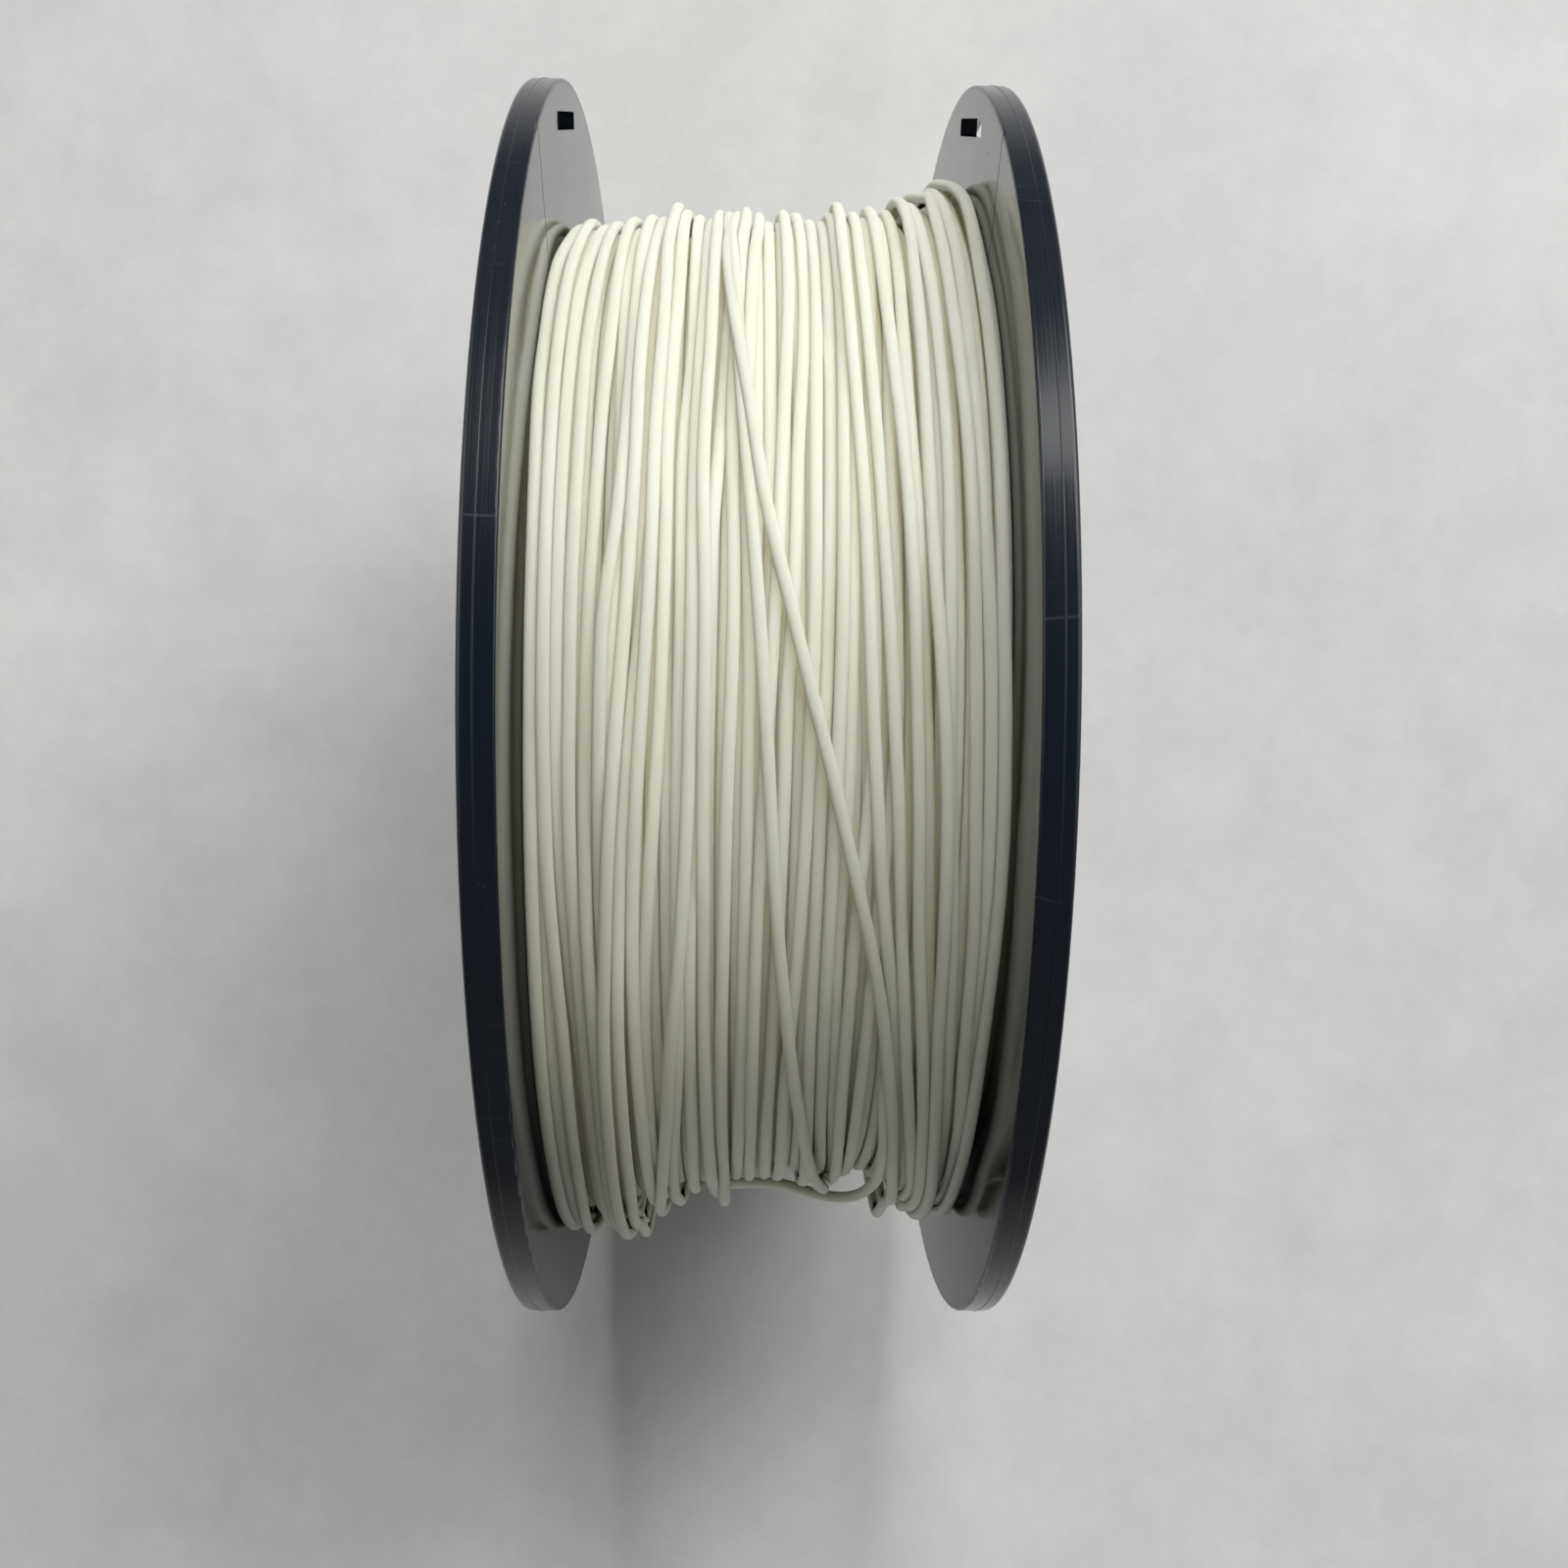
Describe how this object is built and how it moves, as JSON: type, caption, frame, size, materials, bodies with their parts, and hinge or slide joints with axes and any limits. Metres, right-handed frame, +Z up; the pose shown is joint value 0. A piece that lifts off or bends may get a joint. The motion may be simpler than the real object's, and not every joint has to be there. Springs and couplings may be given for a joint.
{
  "type": "filament spool",
  "caption": "Round two-flange reel wound with thermoplastic filament for a desktop 3-D printer; flanges snap into a hollow winding core with a through bore.",
  "frame": {"origin": "middle of the spool, on its axis, half way between the two flanges", "axes": "+Y along the spool's axis towards flange_right; +Z up with the spool standing on its two rims; +X completes the frame"},
  "size_m": [0.2, 0.0708, 0.2],
  "materials": {
    "flange_plastic": "glossy injection-moulded polystyrene with fine handling scratches",
    "core_plastic": "fine matt moulded polystyrene",
    "filament": "satin natural-white extruded filament, slightly translucent",
    "label_paper": "coated white label, blank"
  },
  "bodies": {
    "root": {"flange_left": "flange_plastic", "flange_right": "flange_plastic", "winding_core": "core_plastic", "filament_winding": "filament", "filament_outer_turns": "filament", "filament_crossing_strand": "filament", "filament_slack_loop": "filament", "filament_start_end": "filament", "spool_label": "label_paper"}
  },
  "joints": []
}
